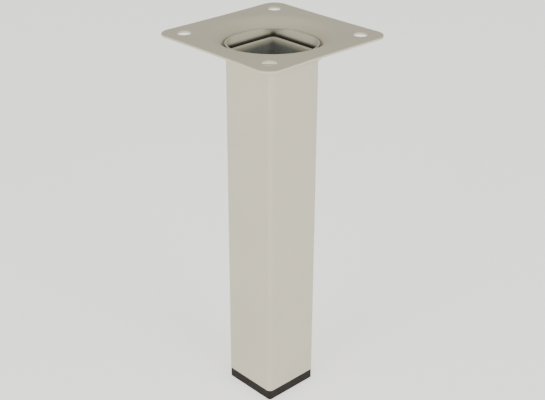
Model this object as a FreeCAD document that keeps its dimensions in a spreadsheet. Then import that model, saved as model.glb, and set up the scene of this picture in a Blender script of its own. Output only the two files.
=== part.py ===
"""Square steel furniture leg with a screw-adjusted plastic foot.

The leg stands on the floor: +Z runs up the tube, and the origin is under the foot's centre.
Levels of the pieces at the top are counted down from the mounting plate's upper face, and levels of
the pieces at the bottom are counted up from the floor.
"""

import FreeCAD, Part
import os
from math import cos, pi, radians, sin, sqrt

import Sketcher
from FreeCAD import Vector

DIMENSIONS = {
    "overall_height": 150.0,
    # mounting plate: square sheet with four screw holes and a round dish
    "plate_width": 60.0,
    "plate_corner": 5.5,
    "plate_sheet": 0.9,
    "plate_edge": 0.25,
    "hole_pitch": 45.0,
    "hole_diameter": 5.0,
    "dish_mouth": 20.6,
    "dish_floor": 18.0,
    "dish_depth": 4.6,
    "dish_shoulder": 5.5,
    "dish_root": 1.0,
    # collar: lip on the dish's floor, trumpet mouth, free throat, bead and skirt under the plate
    "lip_width": 32.4,
    "lip_corner": 13.4,
    "lip_level": 3.4,
    "mouth_width": 31.7,
    "mouth_corner": 14.3,
    "throat_level": 7.1,
    "throat_gap": 0.6,
    "throat_corner": 3.7,
    "grip_level": 8.2,
    "barrel_width": 28.9,
    "barrel_corner": 7.9,
    "bead_width": 30.8,
    "bead_corner": 8.8,
    "bead_height": 1.6,
    "skirt_wall": 1.2,
    "skirt_level": 9.2,
    "grip_gap": 0.02,
    # leg tube
    "tube_width": 25.0,
    "tube_corner": 2.0,
    "tube_wall": 1.5,
    "tube_top": 6.5,
    "tube_bottom": 4.3,
    # plastic foot: base, guide that slides in the tube, bore for the spindle's flange
    "base_width": 24.4,
    "base_corner": 1.2,
    "base_height": 4.2,
    "base_edge": 0.3,
    "guide_width": 21.4,
    "guide_corner": 1.0,
    "guide_wall": 1.6,
    "guide_top": 22.0,
    "well_floor": 9.0,
    "flange_bore": 15.6,
    "flange_seat": 2.4,
    "key_hole": 8.0,
    # spindle and the two rings on it
    "washer_diameter": 14.6,
    "washer_hole": 8.5,
    "washer_height": 0.8,
    "bearing_gap": 0.05,
    "flange_diameter": 15.0,
    "flange_height": 2.5,
    "spindle_diameter": 7.9,
    "spindle_top": 50.0,
    "spindle_point": 1.0,
    "key_flats": 5.0,
    "key_depth": 5.0,
    "ring_lift": 0.2,
    "ring_height": 1.2,
    "ring_hole": 10.0,
    # plug in the tube, with the nut in its underside
    "plug_bottom": 24.0,
    "plug_height": 20.0,
    "plug_width": 20.4,
    "plug_corner": 1.5,
    "plug_bore": 9.0,
    "fin_width": 21.96,
    "fin_corner": 0.8,
    "fin_height": 1.4,
    "fin_pitch": 5.6,
    "nut_flats": 13.0,
    "nut_height": 6.5,
    "nut_recess": 0.5,
    "nut_gap": 0.1,
    "thread_bore": 8.0,
}

FIN_COUNT = 3
TRUMPET_STATIONS = 5
SMALL = 1e-4

doc = FreeCAD.newDocument("levelling_foot")
sheet = doc.addObject("Spreadsheet::Sheet", "Sheet")
for row, (alias, value) in enumerate(DIMENSIONS.items(), start=1):
    sheet.set(f"A{row}", alias)
    sheet.set(f"B{row}", str(value))
    sheet.setAlias(f"B{row}", alias)
doc.recompute()


def cells(formula):
    """The formula with each dimension's name turned into its cell of the sheet."""
    spaced = formula.replace("(", "( ").replace(")", " )")
    return " ".join(f"Sheet.{word}" if word in DIMENSIONS else word for word in spaced.split())


def number(formula):
    """What a formula of dimensions comes to."""
    return float(sheet.evalExpression(cells(formula)))


def new_body(name, level):
    """A body whose own origin is on the tube's axis, at a level above the floor."""
    body = doc.addObject("PartDesign::Body", name)
    body.Label = name
    body.setExpression("Placement.Base.z", cells(level))
    return body


def new_sketch(body, name, lift="0", role="XY_Plane"):
    """A sketch on one of the body's origin planes, lifted along the plane's normal."""
    sketch = body.newObject("Sketcher::SketchObject", name)
    plane = [feature for feature in body.Origin.OriginFeatures if feature.Role == role][0]
    sketch.AttachmentSupport = [(plane, "")]
    sketch.MapMode = "FlatFace"
    sketch.setExpression(".AttachmentOffset.Base.z", cells(lift))
    return sketch


def bind(sketch, name, formula, constraint):
    """Adds a dimension to a sketch and ties it to the sheet."""
    index = sketch.addConstraint(constraint)
    sketch.renameConstraint(index, name)
    sketch.setExpression(f"Constraints.{name}", cells(formula))


def draw_square(sketch, width, corner):
    """A square with rounded corners, centred on the sketch's origin."""
    half, radius = number(width) / 2, number(corner)
    reach = half - radius
    arcs = []
    for turn, (sx, sy) in enumerate(((1, 1), (-1, 1), (-1, -1), (1, -1))):
        circle = Part.Circle(Vector(sx * reach, sy * reach, 0), Vector(0, 0, 1), radius)
        start = turn * pi / 2
        arcs.append(sketch.addGeometry(Part.ArcOfCircle(circle, start, start + pi / 2)))
    top = Part.LineSegment(Vector(reach, half, 0), Vector(-reach, half, 0))
    left = Part.LineSegment(Vector(-half, reach, 0), Vector(-half, -reach, 0))
    bottom = Part.LineSegment(Vector(-reach, -half, 0), Vector(reach, -half, 0))
    right = Part.LineSegment(Vector(half, -reach, 0), Vector(half, reach, 0))
    sides = [sketch.addGeometry(side) for side in (top, left, bottom, right)]
    for i, side in enumerate(sides):
        sketch.addConstraint(Sketcher.Constraint("Tangent", arcs[i], 2, side, 1))
        sketch.addConstraint(Sketcher.Constraint("Tangent", side, 2, arcs[(i + 1) % 4], 1))
        if i:
            sketch.addConstraint(Sketcher.Constraint("Equal", arcs[0], arcs[i]))
    sketch.addConstraint(Sketcher.Constraint("Horizontal", sides[0]))
    sketch.addConstraint(Sketcher.Constraint("Vertical", sides[1]))
    sketch.addConstraint(Sketcher.Constraint("Symmetric", arcs[0], 3, arcs[2], 3, -1, 1))
    bind(sketch, "corner", corner, Sketcher.Constraint("Radius", arcs[0], radius))
    across = Sketcher.Constraint("DistanceX", sides[1], 1, sides[3], 1, 2 * half)
    along = Sketcher.Constraint("DistanceY", sides[2], 1, sides[0], 1, 2 * half)
    bind(sketch, "across", width, across)
    bind(sketch, "along", width, along)


def draw_circle(sketch, diameter):
    """A circle centred on the sketch's origin."""
    circle = sketch.addGeometry(Part.Circle(Vector(), Vector(0, 0, 1), number(diameter) / 2))
    sketch.addConstraint(Sketcher.Constraint("Coincident", circle, 3, -1, 1))
    bind(sketch, "diameter", diameter, Sketcher.Constraint("Diameter", circle, number(diameter)))


def draw_hole_square(sketch, diameter, pitch):
    """Four equal circles at the corners of a square that is centred on the sketch's origin."""
    half = number(pitch) / 2
    places = [Vector(sx * half, sy * half, 0) for sx, sy in ((1, 1), (-1, 1), (-1, -1), (1, -1))]
    radius = number(diameter) / 2
    holes = [sketch.addGeometry(Part.Circle(place, Vector(0, 0, 1), radius)) for place in places]
    for hole in holes[1:]:
        sketch.addConstraint(Sketcher.Constraint("Equal", holes[0], hole))
    sketch.addConstraint(Sketcher.Constraint("Symmetric", holes[0], 3, holes[2], 3, -1, 1))
    sketch.addConstraint(Sketcher.Constraint("Symmetric", holes[0], 3, holes[1], 3, -2))
    sketch.addConstraint(Sketcher.Constraint("Symmetric", holes[0], 3, holes[3], 3, -1))
    bind(sketch, "diameter", diameter, Sketcher.Constraint("Diameter", holes[0], 2 * radius))
    bind(sketch, "across", pitch, Sketcher.Constraint("DistanceX", holes[1], 3, holes[0], 3, 2 * half))
    bind(sketch, "along", pitch, Sketcher.Constraint("DistanceY", holes[3], 3, holes[0], 3, 2 * half))


def draw_hexagon(sketch, flats):
    """A hexagon across its flats, centred on the sketch's origin, with a corner on the X axis."""
    reach = number(flats) / sqrt(3)
    corners = [Vector(reach * cos(i * pi / 3), reach * sin(i * pi / 3), 0) for i in range(6)]
    guide = sketch.addGeometry(Part.Circle(Vector(), Vector(0, 0, 1), reach), True)
    sketch.addConstraint(Sketcher.Constraint("Coincident", guide, 3, -1, 1))
    sides = []
    for start, end in zip(corners, corners[1:] + corners[:1]):
        sides.append(sketch.addGeometry(Part.LineSegment(start, end)))
    for i, side in enumerate(sides):
        sketch.addConstraint(Sketcher.Constraint("Coincident", side, 2, sides[(i + 1) % 6], 1))
        sketch.addConstraint(Sketcher.Constraint("PointOnObject", side, 1, guide))
        if i:
            sketch.addConstraint(Sketcher.Constraint("Equal", sides[0], side))
    sketch.addConstraint(Sketcher.Constraint("PointOnObject", sides[0], 1, -1))
    across = Sketcher.Constraint("Diameter", guide, 2 * reach)
    bind(sketch, "corners", f"2 * {flats} / sqrt(3)", across)


def draw_profile(sketch, corners):
    """A closed profile of straight sides, each corner given as formulas of radius and level."""
    points = [Vector(number(radius), number(level), 0) for radius, level in corners]
    sides = []
    for start, end in zip(points, points[1:] + points[:1]):
        sides.append(sketch.addGeometry(Part.LineSegment(start, end)))
    for i, side in enumerate(sides):
        after = sides[(i + 1) % len(sides)]
        sketch.addConstraint(Sketcher.Constraint("Coincident", side, 2, after, 1))
    for i, (radius, level) in enumerate(corners):
        place = Sketcher.Constraint("DistanceX", -1, 1, sides[i], 1, points[i].x)
        bind(sketch, f"radius_{i}", radius, place)
        place = Sketcher.Constraint("DistanceY", -1, 1, sides[i], 1, points[i].y)
        bind(sketch, f"level_{i}", level, place)


def pad(body, sketch, name, height):
    """Raises a sketch into a solid, upwards from its plane."""
    feature = body.newObject("PartDesign::Pad", name)
    feature.Profile = sketch
    feature.setExpression("Length", cells(height))
    doc.recompute()
    return feature


def pocket(body, sketch, name, depth=None, upwards=False):
    """Cuts a sketch's shape out of the body, down from its plane unless told otherwise."""
    feature = body.newObject("PartDesign::Pocket", name)
    feature.Profile = sketch
    feature.Reversed = upwards
    if depth:
        feature.setExpression("Length", cells(depth))
    else:
        feature.Type = "ThroughAll"
    return check_cut(body, feature)


def check_cut(body, feature):
    """Recomputes the body and stops if the newest feature took nothing away."""
    before = feature.BaseFeature.Shape.Volume
    doc.recompute()
    if feature.Shape.Volume > before - SMALL:
        raise RuntimeError(f"{feature.Name} of {body.Name} cuts nothing")
    return feature


def turn(body, sketch, name, kind="Revolution"):
    """Turns a sketch about the body's Z axis, to add a solid or as a Groove to cut one."""
    feature = body.newObject(f"PartDesign::{kind}", name)
    feature.Profile = sketch
    feature.ReferenceAxis = (sketch, ["V_Axis"])
    feature.Angle = 360
    if kind == "Groove":
        return check_cut(body, feature)
    doc.recompute()
    return feature


def round_edges(body, base, name, radius, chosen):
    """Rounds those edges of a feature that the given test chooses."""
    edges = [f"Edge{i}" for i, edge in enumerate(base.Shape.Edges, start=1) if chosen(edge)]
    if not edges:
        raise RuntimeError(f"{name} of {body.Name} finds no edge")
    feature = body.newObject("PartDesign::Fillet", name)
    feature.Base = (base, edges)
    feature.setExpression("Radius", cells(radius))
    doc.recompute()
    return feature


def is_ring(edge, radius, level):
    """Whether an edge is a circle about the Z axis with this radius, at this level of its body."""
    if not isinstance(edge.Curve, Part.Circle) or len(edge.Vertexes) != 1:
        return False
    centre = edge.Curve.Center
    off = abs(centre.x) + abs(centre.y) + abs(centre.z - level) + abs(edge.Curve.Radius - radius)
    return off < SMALL


def is_rim(edge, width, level):
    """Whether an edge lies at this level and belongs to a square outline of this width."""
    box = edge.BoundBox
    flat = abs(box.ZMin - level) < SMALL and abs(box.ZMax - level) < SMALL
    reach = max(abs(box.XMin), abs(box.XMax), abs(box.YMin), abs(box.YMax))
    return flat and abs(reach - width / 2) < SMALL


def make_mounting_plate():
    """A square sheet pressed down into a round dish, with a hole for the collar in the dish's floor."""
    body = new_body("mounting_plate", "overall_height")
    outline = new_sketch(body, "plate_outline", "-1 * plate_sheet")
    draw_square(outline, "plate_width", "plate_corner")
    pad(body, outline, "plate_blank", "plate_sheet")

    # the dish's outside is its inside, one sheet thickness away
    run = "( dish_mouth - dish_floor )"
    spread = f"plate_sheet * ( sqrt( {run} * {run} + dish_depth * dish_depth ) - {run} ) / dish_depth"
    below = "-1 * ( dish_depth + plate_sheet )"
    outside = new_sketch(body, "dish_outside", role="XZ_Plane")
    draw_profile(
        outside,
        [
            ("0", "-1 * plate_sheet"),
            ("0", below),
            (f"dish_floor + {spread}", below),
            (f"dish_mouth + {spread}", "-1 * plate_sheet"),
        ],
    )
    turn(body, outside, "dish_boss")
    inside = new_sketch(body, "dish_inside", role="XZ_Plane")
    corners = [
        ("0", "0"),
        ("0", "-1 * dish_depth"),
        ("dish_floor", "-1 * dish_depth"),
        ("dish_mouth", "0"),
    ]
    draw_profile(inside, corners)
    solid = turn(body, inside, "dish_hollow", "Groove")

    sheet_t, depth = number("plate_sheet"), number("dish_depth")
    bends = [
        ("shoulder", "dish_shoulder", "dish_mouth", 0),
        ("shoulder_under", "dish_shoulder - plate_sheet", f"dish_mouth + {spread}", -sheet_t),
        ("root", "dish_root", "dish_floor", -depth),
        ("root_under", "dish_root + plate_sheet", f"dish_floor + {spread}", -depth - sheet_t),
    ]
    for name, bend, radius, level in bends:
        ring = number(radius)
        solid = round_edges(body, solid, name, bend, lambda edge: is_ring(edge, ring, level))

    opening = new_sketch(body, "collar_opening")
    draw_square(opening, "barrel_width", "barrel_corner")
    pocket(body, opening, "collar_hole")
    screws = new_sketch(body, "screw_centres")
    draw_hole_square(screws, "hole_diameter", "hole_pitch")
    solid = pocket(body, screws, "screw_holes")
    width = number("plate_width")
    round_edges(body, solid, "soft_edge", "plate_edge", lambda edge: is_rim(edge, width, 0))
    return body


def make_neck_collar():
    """The ring that joins tube to plate: its lip lies in the dish and its bead grips the plate from below."""
    body = new_body("neck_collar", "overall_height")
    under_plate = "( dish_depth + plate_sheet )"
    stages = [
        ("lip", "lip_width", "lip_corner", "lip_level", "dish_depth"),
        ("barrel", "barrel_width", "barrel_corner", "dish_depth", under_plate),
        ("bead", "bead_width", "bead_corner", under_plate, f"( {under_plate} + bead_height )"),
        (
            "skirt",
            "tube_width + 2 * skirt_wall",
            "tube_corner + skirt_wall",
            f"( {under_plate} + bead_height )",
            "skirt_level",
        ),
    ]
    for name, width, corner, top, bottom in stages:
        outline = new_sketch(body, f"{name}_outline", f"-1 * {bottom}")
        draw_square(outline, width, corner)
        pad(body, outline, name, f"{bottom} - {top}")

    # the mouth narrows to the throat along a quarter of an ellipse
    throat_width = "( tube_width + 2 * throat_gap )"
    stations = []
    for i in range(TRUMPET_STATIONS):
        angle = radians(90 * i / (TRUMPET_STATIONS - 1))
        narrow, rise = round(sin(angle), 6), round(cos(angle), 6)
        level = f"-1 * throat_level + ( throat_level - lip_level ) * {rise}"
        station = new_sketch(body, f"mouth_station_{i + 1}", level)
        draw_square(
            station,
            f"mouth_width - ( mouth_width - {throat_width} ) * {narrow}",
            f"mouth_corner - ( mouth_corner - throat_corner ) * {narrow}",
        )
        stations.append(station)
    trumpet = body.newObject("PartDesign::SubtractiveLoft", "trumpet_mouth")
    trumpet.Profile = stations[0]
    trumpet.Sections = stations[1:]
    check_cut(body, trumpet)
    throat = new_sketch(body, "throat_outline", "-1 * throat_level")
    draw_square(throat, throat_width, "throat_corner")
    pocket(body, throat, "throat", "grip_level - throat_level")
    grip = new_sketch(body, "grip_outline", "-1 * grip_level")
    draw_square(grip, "tube_width + 2 * grip_gap", "tube_corner + grip_gap")
    pocket(body, grip, "tube_grip")
    return body


def make_leg_tube():
    """A plain length of square tube."""
    body = new_body("leg_tube", "tube_bottom")
    length = "overall_height - tube_top - tube_bottom"
    outside = new_sketch(body, "tube_outside")
    draw_square(outside, "tube_width", "tube_corner")
    pad(body, outside, "tube_blank", length)
    inside = new_sketch(body, "tube_inside", length)
    draw_square(inside, "tube_width - 2 * tube_wall", "tube_corner - tube_wall")
    pocket(body, inside, "tube_hollow")
    return body


def make_foot_pad():
    """A square base just inside the tube's outline, and a hollow guide that slides in the tube."""
    body = new_body("foot_pad", "0")
    base = new_sketch(body, "base_outline")
    draw_square(base, "base_width", "base_corner")
    solid = pad(body, base, "base", "base_height")
    width = number("base_width")
    round_edges(body, solid, "base_rounding", "base_edge", lambda edge: is_rim(edge, width, 0))
    guide = new_sketch(body, "guide_outline", "base_height")
    draw_square(guide, "guide_width", "guide_corner")
    pad(body, guide, "guide", "guide_top - base_height")
    well = new_sketch(body, "well_outline", "guide_top")
    draw_square(well, "guide_width - 2 * guide_wall", "guide_corner")
    pocket(body, well, "well", "guide_top - well_floor")
    bore = new_sketch(body, "flange_bore_outline", "well_floor")
    draw_circle(bore, "flange_bore")
    pocket(body, bore, "flange_well", "well_floor - flange_seat")
    key = new_sketch(body, "key_hole_outline", "flange_seat")
    draw_circle(key, "key_hole")
    pocket(body, key, "key_way")
    return body


def make_levelling_spindle():
    """A threaded rod with a flange that carries the foot, and a hexagon socket in its lower end."""
    body = new_body("levelling_spindle", "flange_seat + washer_height + 2 * bearing_gap")
    end = "( spindle_top - flange_seat - washer_height - 2 * bearing_gap )"
    profile = new_sketch(body, "spindle_profile", role="XZ_Plane")
    corners = [
        ("0", "0"),
        ("flange_diameter / 2", "0"),
        ("flange_diameter / 2", "flange_height"),
        ("spindle_diameter / 2", "flange_height"),
        ("spindle_diameter / 2", f"{end} - spindle_point"),
        ("spindle_diameter / 2 - spindle_point", end),
        ("0", end),
    ]
    draw_profile(profile, corners)
    turn(body, profile, "turned_rod")
    socket = new_sketch(body, "key_socket_outline")
    draw_hexagon(socket, "key_flats")
    pocket(body, socket, "key_socket", "key_depth", upwards=True)
    return body


def make_tube_plug():
    """A plug with gripping fins, bored for the spindle and with a six-sided pocket for the nut."""
    body = new_body("tube_plug", "plug_bottom")
    core = new_sketch(body, "plug_outline")
    draw_square(core, "plug_width", "plug_corner")
    pad(body, core, "plug_core", "plug_height")
    for i in range(FIN_COUNT):
        lift = f"plug_height - fin_height - {i} * fin_pitch"
        outline = new_sketch(body, f"fin_outline_{i + 1}", lift)
        draw_square(outline, "fin_width", "fin_corner")
        pad(body, outline, f"fin_{i + 1}", "fin_height")
    bore = new_sketch(body, "plug_bore_outline", "plug_height")
    draw_circle(bore, "plug_bore")
    pocket(body, bore, "plug_bore_cut")
    pocket_outline = new_sketch(body, "nut_pocket_outline")
    draw_hexagon(pocket_outline, "nut_flats + 2 * nut_gap")
    pocket(body, pocket_outline, "nut_pocket", "nut_height + nut_recess", upwards=True)
    return body


def make_ring(name, outer, hole, height, level):
    """A flat ring: one cylinder cut out of another."""
    disc = doc.addObject("Part::Cylinder", f"{name}_disc")
    disc.setExpression("Radius", cells(f"( {outer} ) / 2"))
    disc.setExpression("Height", cells(height))
    core = doc.addObject("Part::Cylinder", f"{name}_core")
    core.setExpression("Radius", cells(f"( {hole} ) / 2"))
    core.setExpression("Height", cells(height))
    return cut_out(name, disc, core, level)


def make_spindle_nut():
    """A plain six-sided nut."""
    prism = doc.addObject("Part::Prism", "nut_blank")
    prism.Polygon = 6
    prism.setExpression("Circumradius", cells("nut_flats / sqrt(3)"))
    prism.setExpression("Height", cells("nut_height"))
    core = doc.addObject("Part::Cylinder", "nut_thread")
    core.setExpression("Radius", cells("thread_bore / 2"))
    core.setExpression("Height", cells("nut_height"))
    return cut_out("spindle_nut", prism, core, "plug_bottom + nut_recess")


def cut_out(name, base, tool, level):
    """One primitive cut out of another, and the result lifted to its level above the floor."""
    result = doc.addObject("Part::Cut", name)
    result.Label = name
    result.Base = base
    result.Tool = tool
    result.setExpression("Placement.Base.z", cells(level))
    return result


washer_top = "flange_seat + washer_height + 2 * bearing_gap"
parts = [
    make_mounting_plate(),
    make_neck_collar(),
    make_leg_tube(),
    make_foot_pad(),
    make_levelling_spindle(),
    make_tube_plug(),
    make_spindle_nut(),
    make_ring(
        "thrust_washer",
        "washer_diameter",
        "washer_hole",
        "washer_height",
        "flange_seat + bearing_gap",
    ),
    make_ring(
        "retaining_ring",
        "flange_bore",
        "ring_hole",
        "ring_height",
        f"{washer_top} + flange_height + ring_lift",
    ),
]
doc.recompute()

for item in doc.Objects:
    if "Invalid" in item.State or "Error" in item.State:
        raise RuntimeError(f"{item.Name} did not recompute: {item.State}")
for part in parts:
    if part.Shape.isNull() or not part.Shape.isValid() or len(part.Shape.Solids) != 1:
        raise RuntimeError(f"{part.Label} is not one valid solid")

os.makedirs("parts", exist_ok=True)
for part in parts:
    part.Shape.exportStep(f"parts/{part.Label}.step")
    box = part.Shape.BoundBox
    print(f"{part.Label}: {part.Shape.Volume:.1f} mm3, z {box.ZMin:.2f} to {box.ZMax:.2f}")
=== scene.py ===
"""Square steel furniture leg with a screw-adjusted plastic foot: meshes, finishes, light and view."""

from math import atan2, cos, pi, radians, sin, sqrt

import bmesh
import bpy
from mathutils import Matrix, Vector


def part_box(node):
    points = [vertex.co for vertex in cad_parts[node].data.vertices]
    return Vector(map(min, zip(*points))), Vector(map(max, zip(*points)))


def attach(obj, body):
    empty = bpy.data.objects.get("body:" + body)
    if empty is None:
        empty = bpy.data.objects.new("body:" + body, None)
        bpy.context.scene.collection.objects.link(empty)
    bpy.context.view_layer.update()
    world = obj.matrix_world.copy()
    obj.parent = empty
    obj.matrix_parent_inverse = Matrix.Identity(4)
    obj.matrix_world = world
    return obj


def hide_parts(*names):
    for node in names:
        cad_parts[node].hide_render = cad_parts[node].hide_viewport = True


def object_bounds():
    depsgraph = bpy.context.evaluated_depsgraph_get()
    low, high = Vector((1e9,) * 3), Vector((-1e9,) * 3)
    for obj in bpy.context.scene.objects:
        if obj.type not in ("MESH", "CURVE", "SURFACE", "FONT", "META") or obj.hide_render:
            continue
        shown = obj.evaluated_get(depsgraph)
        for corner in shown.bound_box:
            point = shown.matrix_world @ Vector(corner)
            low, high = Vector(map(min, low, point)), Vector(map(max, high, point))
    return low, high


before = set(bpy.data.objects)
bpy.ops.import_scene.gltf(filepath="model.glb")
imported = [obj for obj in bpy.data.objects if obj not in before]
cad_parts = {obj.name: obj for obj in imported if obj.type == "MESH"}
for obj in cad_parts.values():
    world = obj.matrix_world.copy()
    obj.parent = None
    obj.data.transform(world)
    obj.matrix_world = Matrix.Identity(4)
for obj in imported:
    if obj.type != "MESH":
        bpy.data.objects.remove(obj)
CAD_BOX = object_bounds()

bl_info = {
    "name": "Furniture Levelling Foot",
    "version": (1, 0, 0),
    "blender": (4, 5, 0),
    "location": "View3D > Sidebar > Leg",
    "description": "Builds a square furniture leg with a dished plate and a levelling foot",
    "category": "Add Mesh",
}

MM = 0.001
PLATE_LOW, PLATE_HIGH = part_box("mounting_plate")
COLLAR_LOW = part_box("neck_collar")[0]
TUBE_LOW, TUBE_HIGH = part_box("leg_tube")
PAD_LOW, PAD_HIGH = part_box("foot_pad")
SPINDLE_LOW, SPINDLE_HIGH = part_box("levelling_spindle")
PLUG_LOW, PLUG_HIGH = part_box("tube_plug")
NUT_LOW, NUT_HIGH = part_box("spindle_nut")

# how finely round shapes are divided
ARC_STEPS = 10
SIDE_STEPS = 4
ROUND_STEPS = 96
MOUTH_STEPS = 10
SHOULDER_STEPS = 8
ROOT_STEPS = 5
HOLE_STEPS = 48
HEAD_STEPS = 48
THREAD_STEPS = 40
TUBE_STEPS = 8

# widths of the rounding on each piece's edges
PLATE_EDGE = 0.28 * MM
COLLAR_EDGE = 0.35 * MM
TUBE_EDGE = 0.22 * MM
FOOT_EDGE = 0.22 * MM
HEAD_EDGE = 0.25 * MM
FINE_EDGE = 0.15 * MM
NUT_EDGE = 0.1 * MM

# how far a crevice's shade reaches on open faces and in the collar's mouth
OPEN_REACH = 3.5 * MM
MOUTH_REACH = 5.0 * MM

DISH_SLOPE = radians(60)
FLOOR_HALF = 4.0


# Sizes and finishes

def length(name, description, millimetres):
    """A size in millimetres, kept as a length."""
    return bpy.props.FloatProperty(
        name=name, description=description, default=millimetres * MM, unit="LENGTH", precision=5
    )


def colour(name, description, red, green, blue):
    return bpy.props.FloatVectorProperty(
        name=name, description=description, default=(red, green, blue), size=3, subtype="COLOR", min=0, max=1
    )


class LegPlateSizes(bpy.types.PropertyGroup):
    """Mounting plate and the collar in its dish."""

    sheet: length("Sheet", "Thickness of the plate's sheet", 0.9)
    corner: length("Corner", "Radius of the plate's corners", 5.5)
    bow: length("Bow", "How far the plate's sides curve in at their middles", 0.35)
    hole: length("Screw Hole", "Diameter of the screw holes", 5.0)
    pitch: length("Hole Pitch", "Distance between neighbouring screw holes", 45.0)
    dish_rim: length("Dish Rim", "Radius where the flat sheet starts to bend down", 23.8)
    shoulder: length("Dish Shoulder", "Bend radius at the top of the dish", 5.5)
    root: length("Dish Root", "Bend radius at the dish's floor", 1.0)
    depth: length("Dish Depth", "Depth of the dish's floor", 4.6)
    opening: length("Opening", "Width of the hole under the collar's lip", 29.0)
    lip_depth: length("Lip Depth", "Level of the collar's lip under the plate's face", 3.4)
    lip_width: length("Lip Width", "Width of the collar's lip", 32.4)
    lip_corner: length("Lip Corner", "Corner radius of the collar's lip", 13.4)
    mouth_width: length("Mouth Width", "Width where the trumpet mouth starts", 31.7)
    mouth_corner: length("Mouth Corner", "Corner radius where the trumpet mouth starts", 14.3)
    throat_depth: length("Throat Depth", "Level where the mouth meets the straight throat", 7.1)
    throat_gap: length("Throat Gap", "Free gap between the throat and the tube", 0.6)
    throat_corner: length("Throat Corner", "Corner radius of the straight throat", 3.7)
    grip_depth: length("Grip Depth", "Level where the collar closes on the tube", 8.2)
    grip_gap: length("Grip Gap", "Free gap between the grip and the tube", 0.02)
    barrel_width: length("Barrel Width", "Width of the collar where it passes the sheet", 28.8)
    barrel_corner: length("Barrel Corner", "Corner radius of the barrel", 7.8)
    bead_width: length("Bead Width", "Width of the bead under the sheet", 30.8)
    bead_corner: length("Bead Corner", "Corner radius of the bead", 8.8)
    bead_height: length("Bead Height", "Height of the bead", 1.6)
    skirt_width: length("Skirt Width", "Width of the skirt round the tube", 27.4)
    skirt_corner: length("Skirt Corner", "Corner radius of the skirt", 3.5)


class LegTubeSizes(bpy.types.PropertyGroup):
    """Leg tube, foot and the parts inside."""

    corner: length("Tube Corner", "Outer corner radius of the tube", 2.0)
    wall: length("Tube Wall", "Wall thickness of the tube", 1.5)
    guide: length("Guide", "Width of the foot's guide", 21.4)
    guide_wall: length("Guide Wall", "Wall thickness of the foot's guide", 1.6)
    base: length("Foot Base", "Height of the foot's base", 4.2)
    base_corner: length("Foot Corner", "Corner radius of the foot's base", 1.2)
    guide_corner: length("Guide Corner", "Corner radius of the guide", 1.0)
    seat_level: length("Seat Level", "Height of the flange's seat in the foot", 2.4)
    well_level: length("Well Level", "Height of the guide's inner floor", 9.0)
    well: length("Well", "Radius of the well for the spindle's flange", 7.8)
    key_way: length("Key Way", "Radius of the hole that the key goes through", 4.0)
    pitch: length("Thread Pitch", "Advance of the spindle in one turn", 1.25)
    rod: length("Rod", "Radius of the spindle's rod", 3.95)
    thread: length("Thread Depth", "Depth of the spindle's thread", 0.68)
    flange: length("Flange", "Diameter of the spindle's flange", 15.0)
    flange_height: length("Flange Height", "Height of the spindle's flange", 2.5)
    key: length("Key", "Width across flats of the spindle's socket", 5.0)
    key_depth: length("Key Depth", "Depth of the spindle's socket", 5.0)
    plug: length("Plug", "Width of the plug's core", 20.4)
    fin_pitch: length("Fin Pitch", "Distance between the plug's fins", 5.6)
    fin_height: length("Fin Height", "Height of one fin", 1.4)
    fin_corner: length("Fin Corner", "Corner radius of a fin", 0.8)
    cup_depth: length("Cup Depth", "Depth of the cup in the plug's top", 6.0)
    nut_pocket: length("Nut Pocket", "Width across flats of the pocket for the nut", 13.3)


class LegColours(bpy.types.PropertyGroup):
    """Colours of the finishes."""

    coat: colour("Powder Coat", "Warm grey powder coat", 0.575, 0.535, 0.415)
    coat_deep: colour("Coat Shade", "The same coat where it lies thicker", 0.54, 0.50, 0.395)
    bare_steel: colour("Bare Steel", "Dark steel inside the tube, where the coat runs out", 0.19, 0.20, 0.185)
    # Painted shade: near-black colour for the low part and the corners of the collar's mouth.
    painted_throat_shade: colour("Painted Throat Shade", "Near-black painted shade low in the collar's mouth", 0.02, 0.02, 0.018)
    foot: colour("Foot Plastic", "Black-brown moulded plastic", 0.013, 0.010, 0.0085)
    foot_light: colour("Foot Bloom", "Lighter flow marks in the foot's plastic", 0.022, 0.018, 0.015)
    plug: colour("Plug Plastic", "Dark grey moulded plastic", 0.055, 0.056, 0.058)
    plug_light: colour("Plug Bloom", "Lighter flow marks in the plug's plastic", 0.075, 0.076, 0.078)
    zinc: colour("Zinc", "Bright zinc plating", 0.62, 0.63, 0.63)
    zinc_tint: colour("Zinc Tint", "Passivation tint on the zinc", 0.60, 0.58, 0.50)
    floor: colour("Floor", "Plain pale floor", 0.92, 0.92, 0.915)


class LegView(bpy.types.PropertyGroup):
    """Where the camera stands and how the studio is lit."""

    azimuth: bpy.props.FloatProperty(
        name="Azimuth", description="Camera's turn about the leg", default=radians(47.53), subtype="ANGLE"
    )
    elevation: bpy.props.FloatProperty(
        name="Elevation",
        description="Camera's height above the horizon",
        default=radians(26.69),
        subtype="ANGLE",
    )
    roll: bpy.props.FloatProperty(
        name="Roll",
        description="Camera's turn about its own line of sight",
        default=radians(-0.24),
        subtype="ANGLE",
    )
    distance: length("Distance", "From the leg's middle to the camera", 419.9)
    aside: length("Aside", "Camera's step to its right", -6.06)
    above: length("Above", "Camera's step upwards", 6.06)
    lens: bpy.props.FloatProperty(name="Lens", description="Focal length in millimetres", default=70.8)
    shift: bpy.props.FloatVectorProperty(
        name="Shift",
        description="Shift of the picture, in picture widths",
        default=(0.0303, 0.0051),
        size=2,
        precision=4,
    )
    front_light: bpy.props.FloatProperty(
        name="Front Light", description="Power of each front softbox", default=3.0, unit="POWER"
    )
    light_aside: bpy.props.FloatProperty(
        name="Light Aside",
        description="Turn of each softbox from the camera",
        default=radians(45),
        subtype="ANGLE",
    )
    light_away: length("Light Away", "From the leg's axis to each softbox", 750)
    light_high: length("Light High", "Height of the softboxes", 300)
    light_size: length("Light Size", "Side of each square softbox", 500)
    light_tint: colour("Light Tint", "Warm tint of the softboxes and the sky", 1.0, 1.0, 0.93)
    sky: bpy.props.FloatProperty(name="Sky", description="Strength of the even light all round", default=0.70)


# Mesh helpers

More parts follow.
